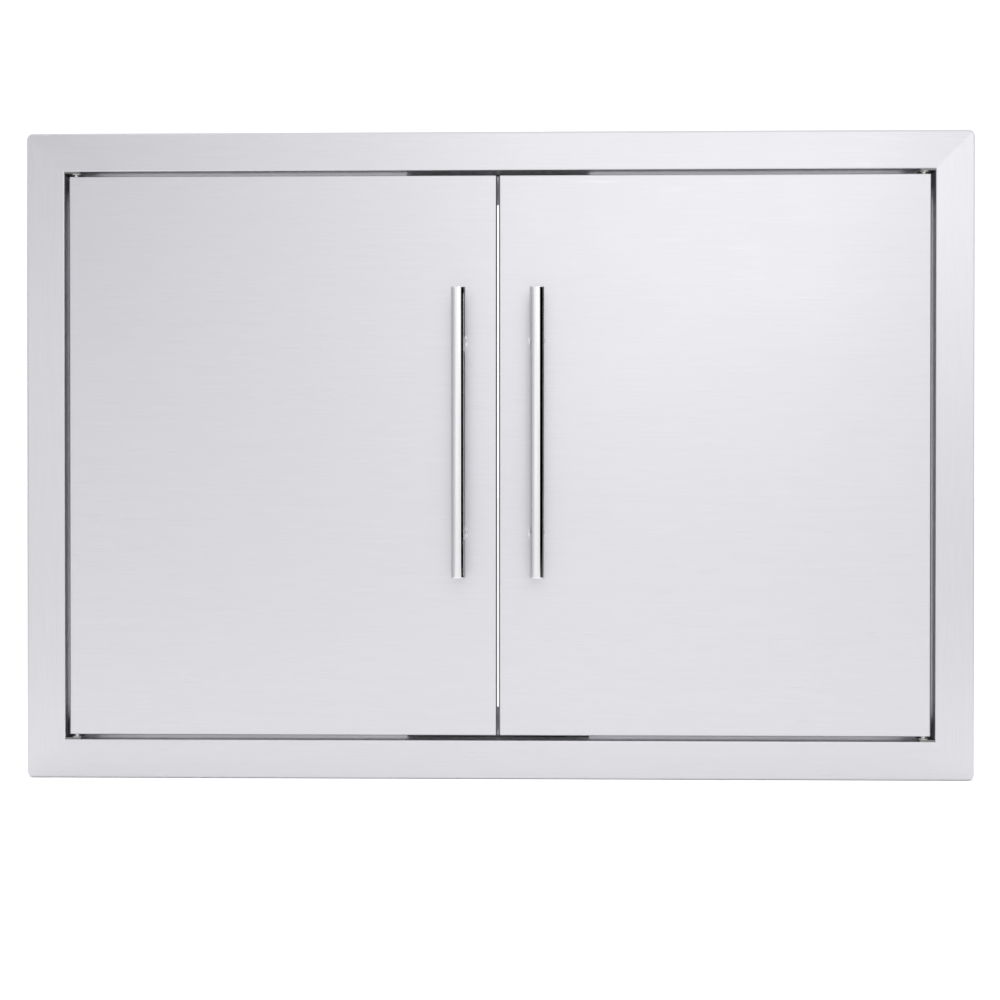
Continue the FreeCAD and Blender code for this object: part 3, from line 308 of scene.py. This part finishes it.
def brushed_steel(name, axis, painted_bend_shade=None):
    """Stainless sheet, brushed along one axis: fine hairlines, a few longer ones and slow changes of gloss.

    A painted bend shade paints the upright bends that much darker: painted shade for the dark edges of the
    door's gaps.
    """
    steel = Finish(name, colour=(0.600, 0.594, 0.622), roughness=0.36, Anisotropic=0.45)
    steel.across(axis)
    hair = steel.noise(along(axis, lengthwise=32, crosswise=2600), detail=3)
    band = steel.noise(along(axis, lengthwise=7, crosswise=700))
    cloud = steel.noise(even(5))
    strokes = steel.blended(band, hair, share=0.8)
    scratches = steel.span(steel.noise(along(axis, lengthwise=18, crosswise=1400), detail=0), 0.70, 0.78)
    base = steel.shaded(steel.span(strokes, 0.36, 0.64), low=0.975, high=1.025)
    # painted shade: the upright bends are painted darker
    if painted_bend_shade:
        base = steel.mixed(bend_mask_for_painted_shade(steel), base, tuple(painted_bend_shade * c for c in steel.colour))
    steel.set("Base Color", base)
    smooth = steel.span(cloud, 0.3, 0.7, to_low=0.29, to_high=0.32)
    steel.roughen(scratches, spread=-0.06, base=steel.math("MULTIPLY_ADD", strokes, 0.08, smooth))
    steel.relief(steel.math("MULTIPLY_ADD", scratches, -0.4, strokes), depth=0.012 * MM)
    return steel.material


def polished_steel():
    """Bright tube for the handles, with the faint rings of its polishing belt."""
    steel = Finish("polished_stainless", colour=(0.76, 0.755, 0.775), roughness=0.09)
    rings = steel.noise(along("Z", lengthwise=3200, crosswise=60), detail=3)
    smear = steel.noise(along("Z", lengthwise=12, crosswise=40))
    steel.set("Base Color", steel.shaded(rings, low=0.97, high=1.03))
    steel.roughen(rings, spread=0.03, base=steel.span(smear, 0.3, 0.7, to_low=0.03, to_high=0.07))
    steel.relief(rings, depth=0.004 * MM)
    return steel.material


def mill_steel(name, colour):
    """Unpolished stainless sheet: a dull even grain with rolling lines and soft blotches."""
    steel = Finish(name, colour=colour, roughness=0.40)
    grit = steel.noise(even(2200))
    rolled = steel.noise(along("X", lengthwise=14, crosswise=900))
    blotch = steel.noise(even(35), detail=4)
    tone = steel.span(steel.blended(rolled, blotch, share=0.6), 0.35, 0.65)
    steel.set("Base Color", steel.shaded(tone, low=0.96, high=1.03))
    steel.roughen(grit, spread=0.12, base=steel.span(blotch, 0.3, 0.7, to_low=0.29, to_high=0.34))
    steel.relief(steel.math("MULTIPLY_ADD", grit, 0.5, rolled), depth=0.015 * MM)
    return steel.material


def turned_steel(name, colour, roughness, rings_per_metre):
    """A lathe-turned or drawn surface with fine rings about Z."""
    steel = Finish(name, colour=colour, roughness=roughness)
    rings = steel.noise(along("Z", lengthwise=rings_per_metre, crosswise=30), detail=3)
    mottle = steel.noise(even(400))
    steel.set("Base Color", steel.shaded(mottle, low=0.9, high=1.08))
    steel.roughen(rings, spread=0.12, base=roughness - 0.06)
    steel.relief(rings, depth=0.01 * MM)
    return steel.material


def zinc_steel():
    """Bright zinc plate: bluish, with a faint straw tint in patches."""
    steel = Finish("zinc_steel", colour=(0.56, 0.585, 0.62), roughness=0.32)
    blue = (0.54, 0.57, 0.61)
    straw = (0.63, 0.61, 0.55)
    patch = steel.noise(even(160), detail=3)
    grain = steel.noise(even(1800))
    steel.set("Base Color", steel.mixed(steel.span(patch, 0.42, 0.66), blue, straw))
    steel.roughen(grain, spread=0.16, base=0.24)
    steel.relief(grain, depth=0.01 * MM)
    return steel.material


def fastener_steel():
    """Cold-headed stainless screws: smooth, with light tool marks."""
    steel = Finish("screw_steel", colour=(0.60, 0.60, 0.605), roughness=0.28)
    marks = steel.noise(even(900), detail=3)
    steel.set("Base Color", steel.shaded(marks, low=0.88, high=1.08))
    steel.roughen(marks, spread=0.2, base=0.16)
    steel.relief(marks, depth=0.01 * MM)
    return steel.material


def weld_steel():
    """A bead of filler, straw and blue where it was hot."""
    steel = Finish("weld_steel", colour=(0.50, 0.48, 0.46), roughness=0.36)
    straw = (0.56, 0.50, 0.40)
    blue = (0.40, 0.43, 0.52)
    heat = steel.noise(even(90), detail=3)
    scale = steel.noise(even(2000))
    steel.set("Base Color", steel.mixed(steel.span(heat, 0.38, 0.62), straw, blue))
    steel.roughen(scale, spread=0.2, base=0.26)
    steel.relief(scale, depth=0.02 * MM)
    return steel.material


def rivet_alloy():
    """Plain aluminium with a dull, slightly pitted skin."""
    alloy = Finish("rivet_alloy", colour=(0.72, 0.72, 0.73), roughness=0.42)
    pits = alloy.spots(even(2600))
    stain = alloy.noise(even(300), detail=3)
    alloy.set("Base Color", alloy.shaded(stain, low=0.86, high=1.06))
    alloy.roughen(stain, spread=0.2, base=0.32)
    alloy.relief(alloy.span(pits, 0.0, 0.35), depth=0.01 * MM)
    return alloy.material


def nylon():
    """Natural nylon: milky, with faint flow lines."""
    plastic = Finish("nylon", colour=(0.80, 0.79, 0.73), roughness=0.42, metallic=0.0,
                     Subsurface_Weight=0.25)
    plastic.set("Subsurface Radius", (4 * MM, 3.5 * MM, 3 * MM))
    flow = plastic.noise(along("Z", lengthwise=60, crosswise=180), detail=3, distortion=0.6)
    grain = plastic.noise(even(2400))
    plastic.set("Base Color", plastic.shaded(flow, low=0.94, high=1.04))
    plastic.roughen(grain, spread=0.15, base=0.35)
    plastic.relief(grain, depth=0.01 * MM)
    return plastic.material


def moulded_plastic():
    """Black plastic with the fine spark-eroded grain of its mould."""
    plastic = Finish("black_plastic", colour=(0.028, 0.028, 0.030), roughness=0.5, metallic=0.0)
    grain = plastic.noise(even(3200))
    sheen = plastic.noise(even(120))
    plastic.set("Base Color", plastic.shaded(sheen, low=0.8, high=1.3))
    plastic.roughen(grain, spread=0.25, base=0.36)
    plastic.relief(grain, depth=0.03 * MM)
    return plastic.material


def ferrite():
    """Ground ferrite: dark grey, with grinding lines and small chips."""
    stone = Finish("ferrite", colour=(0.055, 0.055, 0.06), roughness=0.6, metallic=0.0)
    lines = stone.noise(along("X", lengthwise=60, crosswise=1800), detail=3)
    chips = stone.span(stone.spots(even(900)), 0, 0.2)
    stone.set("Base Color", stone.shaded(lines, low=0.7, high=1.5))
    stone.roughen(lines, spread=0.25, base=0.42)
    stone.relief(stone.math("MULTIPLY_ADD", chips, 0.6, lines), depth=0.02 * MM)
    return stone.material


MATERIALS = {
    "rail": brushed_steel("brushed_stainless", "X"),
    "stile": brushed_steel("brushed_stainless_upright", "Z"),
    # The doors' upright bends carry painted shade.
    "door": brushed_steel("brushed_stainless_door_painted_bend_shade", "X", painted_bend_shade=0.35),
    "polished_stainless": polished_steel(),
    "plain_stainless": mill_steel("plain_stainless", (0.56, 0.56, 0.57)),
    # The pivot brackets' steel is painted far darker than plain sheet: painted shade for the dark gap they
    # sit in.
    "bracket": mill_steel("bracket_stainless_painted_shade", (0.20, 0.20, 0.205)),
    "pin_steel": turned_steel("pin_steel", (0.54, 0.54, 0.55), roughness=0.24, rings_per_metre=5200),
    "spring_steel": turned_steel("spring_steel", (0.44, 0.44, 0.45), roughness=0.30, rings_per_metre=900),
    "zinc_steel": zinc_steel(),
    "screw_steel": fastener_steel(),
    "weld_steel": weld_steel(),
    "rivet_alloy": rivet_alloy(),
    "nylon": nylon(),
    "black_plastic": moulded_plastic(),
    "ferrite": ferrite(),
}


def finish_nodes():
    """Gives every node the material of its slot in the record.

    The brushed slot has one for each direction of grain and one for the doors, whose upright bends carry
    painted shade, and the pivot brackets have a darker one of their own: painted shade for the dark gaps
    they sit in.
    """
    for subpart in frame["record"]["subparts"]:
        name, slot = subpart["node"], subpart["material_slot"]
        if slot == "brushed_stainless":
            slot = next(kind for kind in ("stile", "rail", "door") if kind in name)
        # painted shade: the pivot brackets take the dark painted steel
        elif "pivot_bracket" in name:
            slot = "bracket"
        mesh = frame["nodes"][name].data
        mesh.materials.clear()
        mesh.materials.append(MATERIALS[slot])


# Pieces

def mesh_of(name, shape):
    """A bmesh as a mesh. The bmesh is freed."""
    mesh = bpy.data.meshes.new(name)
    shape.to_mesh(mesh)
    shape.free()
    return mesh


def linked(name, data):
    """A new object in the scene."""
    made = bpy.data.objects.new(name, data)
    bpy.context.scene.collection.objects.link(made)
    return made


def piece(name, shape, body, slot, *replaced, finish=None):
    """Turns a bmesh into a piece of the object that rides on a body."""
    bmesh.ops.recalc_face_normals(shape, faces=shape.faces)
    mesh = mesh_of(name, shape)
    mesh.shade_smooth()
    mesh.set_sharp_from_angle(angle=SHARP_ANGLE)
    mesh.materials.append(MATERIALS[finish or slot])
    made = linked(name, mesh)
    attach(made, body)
    if replaced:
        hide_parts(*replaced)
    return made


def islands(node):
    """The boxes of a node's separate solids, as (lowest corner, highest corner)."""
    copy = bmesh.new()
    copy.from_mesh(frame["nodes"][node].data)
    bmesh.ops.remove_doubles(copy, verts=copy.verts, dist=MERGE_DISTANCE)
    boxes = []
    seen = set()
    for start in copy.verts:
        if start in seen:
            continue
        seen.add(start)
        group = []
        front = [start]
        while front:
            vertex = front.pop()
            group.append(vertex.co.copy())
            for edge in vertex.link_edges:
                other = edge.other_vert(vertex)
                if other not in seen:
                    seen.add(other)
                    front.append(other)
        low = Vector(min(c[i] for c in group) for i in range(3))
        high = Vector(max(c[i] for c in group) for i in range(3))
        boxes.append((low, high))
    copy.free()
    return boxes


def skin(shape, rings):
    """Joins equal rings of vertices with quads, and closes both ends."""
    count = len(rings[0])
    for ring, following in zip(rings, rings[1:]):
        for i in range(count):
            j = (i + 1) % count
            shape.faces.new((ring[i], ring[j], following[j], following[i]))
    shape.faces.new(reversed(rings[0]))
    shape.faces.new(rings[-1])


def round_ring(shape, centre, y, radius, groove=0.0, turns=0.0):
    """Vertices round an axis along Y: a circle, or a slice of a V-shaped thread after so many turns."""
    ring = []
    for step in range(ROUND_STEPS):
        share = step / ROUND_STEPS
        out = radius - groove * 2 * abs((turns + share) % 1 - 0.5)
        angle = 2 * math.pi * share
        ring.append(shape.verts.new(centre + Vector((out * math.sin(angle), y, out * math.cos(angle)))))
    return ring


def cross_cutter(head_radius, top, depth):
    """A tapered cross, which cuts the driver's recess into a screw's head."""
    shape = bmesh.new()
    rings = []
    for y, (reach, half_width) in ((top + CUTTER_ABOVE_HEAD, RECESS_MOUTH), (top - depth, RECESS_FLOOR)):
        far = reach * head_radius
        near = half_width * head_radius
        ring = []
        for quarter in range(4):
            turn = Matrix.Rotation(quarter * math.pi / 2, 2)
            for corner in ((far, near), (near, near), (near, far)):
                x, z = turn @ Vector(corner)
                ring.append(shape.verts.new((x, y, z)))
        rings.append(ring)
    skin(shape, rings)
    bmesh.ops.recalc_face_normals(shape, faces=shape.faces)
    return shape


def cut_out(solid, cutter):
    """The mesh of one bmesh less another."""
    blanks = [linked("blank", mesh_of("blank", shape)) for shape in (solid, cutter)]
    cut = blanks[0].modifiers.new("recess", "BOOLEAN")
    cut.object = blanks[1]
    cut.operation = "DIFFERENCE"
    cut.solver = "EXACT"
    bpy.context.view_layer.update()
    graph = bpy.context.evaluated_depsgraph_get()
    result = bpy.data.meshes.new_from_object(blanks[0].evaluated_get(graph))
    for blank in blanks:
        bpy.data.meshes.remove(blank.data)
    return result


def screw_mesh(head_radius, head_height, shank_radius, length, plain_length, pitch):
    """A pan-headed screw about the Y axis: its head's underside lies at Y = 0, its tip at -Y."""
    shape = bmesh.new()
    middle = Vector()
    rings = [round_ring(shape, middle, head_height * up, head_radius * out) for out, up in HEAD_DOME]
    rings.append(round_ring(shape, middle, 0, NECK_RADIUS * shank_radius))
    rings.append(round_ring(shape, middle, -NECK_LENGTH * shank_radius, shank_radius))
    thread_end = length - TIP_LENGTH * shank_radius
    count = math.ceil((thread_end - plain_length) / pitch * THREAD_STEPS)
    for step in range(count + 1):
        down = plain_length + (thread_end - plain_length) * step / count
        groove = THREAD_DEPTH * shank_radius * min(1, step / THREAD_STEPS)
        rings.append(round_ring(shape, middle, -down, shank_radius, groove, turns=down / pitch))
    rings.append(round_ring(shape, middle, -length, TIP_RADIUS * shank_radius))
    skin(shape, rings)
    bmesh.ops.recalc_face_normals(shape, faces=shape.faces)
    return cut_out(shape, cross_cutter(head_radius, head_height, RECESS_DEPTH_SHARE * head_height))


def screws(node, name, body, sizes):
    """Puts a threaded screw with a driver's recess where each plain one of the node stands."""
    pattern = screw_mesh(**sizes)
    shape = bmesh.new()
    for low, high in islands(node):
        middle = (low + high) / 2
        before = len(shape.verts)
        shape.from_mesh(pattern)
        shape.verts.ensure_lookup_table()
        fresh = shape.verts[before:]
        turn = Matrix.Rotation(SCREW_TURN * (middle.x + middle.z) / MM, 4, "Y")
        bmesh.ops.rotate(shape, verts=fresh, matrix=turn)
        bmesh.ops.translate(shape, verts=fresh, vec=(middle.x, high.y - sizes["head_height"], middle.z))
    bpy.data.meshes.remove(pattern)
    piece(name, shape, body, "screw_steel", node)


def rivets(side):
    """Blind rivets: a low dome with the broken mandrel sunk in its middle, and a swollen closed end."""
    node = f"{side}_door_rivets"
    shape = bmesh.new()
    for low, high in islands(node):
        middle = (low + high) / 2
        under_head = Vector((middle.x, high.y - RIVET_HEAD, middle.z))
        grip = high.y - low.y - RIVET_HEAD - RIVET_BULB
        outline = [(radius * MM, up * MM) for radius, up in RIVET_DOME]
        outline += [(radius * MM, -grip - down * MM) for radius, down in RIVET_TAIL]
        skin(shape, [round_ring(shape, under_head, y, radius) for radius, y in outline])
    piece(f"{side}_rivet_set", shape, f"{side}_door", "rivet_alloy", node)


def bead(name, start, end, outward, half_width, half_height):
    """A rippled weld bead along a straight line, whose crown faces outward."""
    line = end - start
    forward = line.normalized()
    crown = outward.normalized()
    aside = forward.cross(crown)
    shape = bmesh.new()
    rings = []
    count = round(line.length / BEAD_STEP)
    for step in range(count + 1):
        share = step / count
        reach = share * line.length
        taper = max(math.sqrt(1 - abs(2 * share - 1) ** BEAD_BLUNTNESS), BEAD_END_SHARE)
        wander = sum(far * math.sin(reach / wave + shift) for far, wave, shift in BEAD_WAVES)
        ring = []
        for corner in range(BEAD_CORNERS):
            bend = 2 * math.pi * corner / BEAD_CORNERS
            crescent = reach + CRESCENT * math.cos(bend) ** 2
            ripple = 1 - RIPPLE_DEPTH + RIPPLE_DEPTH * math.cos(2 * math.pi * crescent / RIPPLE_LENGTH)
            swell = taper * ripple
            ring.append(shape.verts.new(
                start + forward * reach + aside * (wander + half_width * swell * math.cos(bend))
                + crown * half_height * swell * math.sin(bend)))
        rings.append(ring)
    skin(shape, rings)
    piece(name, shape, "frame", "brushed_stainless", finish="weld_steel")


def welds():
    """Beads down the outer corners of the frame's box, and behind each mitre of the trim."""
    box_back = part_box("frame_left_stile")[1].y
    box_half_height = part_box("catch_bracket_top")[1].z + RAIL_SHEET
    for side, across in SIDES.items():
        for level, up in LEVELS.items():
            outward = Vector((across, 0, up)).normalized()
            corner = Vector((across * BOX_HALF_WIDTH, 0, up * box_half_height)) - outward * CORNER_BEAD_SUNK
            start = corner + Vector((0, CORNER_BEAD_START, 0))
            stop = corner + Vector((0, box_back - CORNER_BEAD_STOP, 0))
            bead(f"corner_weld_{level}_{side}", start, stop, outward, **CORNER_BEAD)
            start, stop = (
                Vector((across * (BOX_HALF_WIDTH + away), MITRE_BACK, up * (box_half_height + away)))
                for away in (MITRE_BEAD_START, MITRE_BEAD_STOP))
            bead(f"mitre_weld_{level}_{side}", start, stop, Vector((0, 1, 0)), **MITRE_BEAD)


def spring(side):
    """A close-ended compression spring, built at its node's length; the real one is squeezed as the pin is
    pulled down.
    """
    node = f"{side}_pin_spring"
    low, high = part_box(node)
    middle = (low + high) / 2
    radius = (high.x - low.x) / 2 - WIRE_RADIUS
    bottom = low.z + WIRE_RADIUS
    top = high.z - WIRE_RADIUS
    active_turns = SPRING_TURNS - 2 * DEAD_TURNS
    active_rise = top - bottom - 2 * (DEAD_PITCH * DEAD_TURNS)
    upward = Vector((0, 0, 1))
    shape = bmesh.new()
    rings = []
    steps = round(SPRING_TURNS * STEPS_PER_TURN)
    for step in range(steps + 1):
        turn = SPRING_TURNS * step / steps
        share = min(max((turn - DEAD_TURNS) / active_turns, 0), 1)
        dead_turns_made = min(turn, DEAD_TURNS) + max(turn - SPRING_TURNS + DEAD_TURNS, 0)
        height = bottom + DEAD_PITCH * dead_turns_made + share * active_rise
        angle = 2 * math.pi * turn
        out = Vector((math.cos(angle), math.sin(angle), 0))
        centre = Vector((middle.x, middle.y, height)) + radius * out
        ring = []
        for corner in range(WIRE_CORNERS):
            bend = 2 * math.pi * corner / WIRE_CORNERS
            offset = math.cos(bend) * out + math.sin(bend) * upward
            ring.append(shape.verts.new(centre + WIRE_RADIUS * offset))
        rings.append(ring)
    skin(shape, rings)
    made = piece(f"{side}_coil_spring", shape, f"{side}_door", "spring_steel", node)
    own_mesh(made)


# Studio and camera

def sheet(name, corners, paint):
    """A flat stage object of one face."""
    shape = bmesh.new()
    shape.faces.new([shape.verts.new(corner) for corner in corners])
    mesh = mesh_of(name, shape)
    mesh.materials.append(paint.material)
    made = linked(name, mesh)
    return made


def card(name, ends, foot, height, greys):
    """An upright studio card, shaded from one end to the other. It shows in reflections only."""
    first, last = (Vector(end) for end in ends)
    width = (last - first).length
    paint = Finish(name, colour=(1, 1, 1), roughness=0.9, metallic=0.0, Specular_IOR_Level=0.0)
    sideways = paint.add("SeparateXYZ")
    paint.feed(sideways.inputs[0], paint.place)
    paint.set("Base Color", paint.mixed(
        paint.span(sideways.outputs["X"], 0, width), (greys[0],) * 3, (greys[1],) * 3))
    made = sheet(name, ((0, 0, 0), (width, 0, 0), (width, 0, height), (0, 0, height)), paint)
    made.location = (*first, foot)
    made.rotation_euler.z = math.atan2(last.y - first.y, last.x - first.x)
    made.visible_camera = False
    made.visible_diffuse = False
    made.visible_shadow = False


def floor():
    """A pale floor at the height of the trim's bottom edge."""
    paint = Finish("floor_paint", colour=(FLOOR_WHITE,) * 3, roughness=0.9, metallic=0.0)
    paint.set("Base Color", paint.shaded(paint.noise(even(3)), low=0.99, high=1.01))
    corners = ((-1, -1), (1, -1), (1, 1), (-1, 1))
    return sheet("floor", [(FLOOR_HALF * x, FLOOR_HALF * y, cad_box[0].z) for x, y in corners], paint)


def softbox(name, place, target, size, power, spread, only_on=None):
    """A lamp that the camera doesn't see. It lights everything, or only that object."""
    data = bpy.data.lights.new(name, "AREA")
    data.shape = "RECTANGLE"
    data.size, data.size_y = size
    data.energy = power
    data.spread = spread
    made = linked(name, data)
    made.location = place
    made.rotation_euler = (Vector(target) - Vector(place)).to_track_quat("-Z", "Y").to_euler()
    made.visible_camera = False
    if only_on:
        lit = bpy.data.collections.new(f"lit_by_{name}")
        lit.objects.link(only_on)
        made.light_linking.receiver_collection = lit


def studio():
    """An evenly white room, with its floor, its cards and its lamps."""
    scene = bpy.context.scene
    scene.view_settings.view_transform = "Standard"
    world = bpy.data.worlds.new("studio")
    scene.world = world
    world.use_nodes = True
    background = world.node_tree.nodes["Background"]
    background.inputs["Color"].default_value = (1, 1, 1, 1)
    background.inputs["Strength"].default_value = ROOM_LIGHT
    for name, settings in CARDS.items():
        card(name, **settings)
    softbox("key_light", **KEY_LAMP)
    softbox("floor_light", **FLOOR_LAMP, only_on=floor())
    softbox("edge_light", **EDGE_LAMP, only_on=frame["nodes"]["frame_right_stile"])


def camera():
    """The photograph's viewpoint, level apart from a slight tilt down."""
    data = bpy.data.cameras.new("camera")
    data.sensor_width = SENSOR_WIDTH
    data.lens = FOCAL_LENGTH
    data.shift_x = CAMERA_SHIFT
    made = linked("camera", data)
    made.location = CAMERA_PLACE
    made.rotation_euler = (math.pi / 2 + CAMERA_TILT, 0, CAMERA_TURN)
    bpy.context.scene.camera = made


finish_nodes()
for side in SIDES:
    spring(side)
    rivets(side)
    screws(f"{side}_handle_screws", f"{side}_handle_screw_pair", f"{side}_door", HANDLE_SCREW)
screws("catch_screws", "catch_screw_set", "frame", CATCH_SCREW)
welds()
studio()
camera()
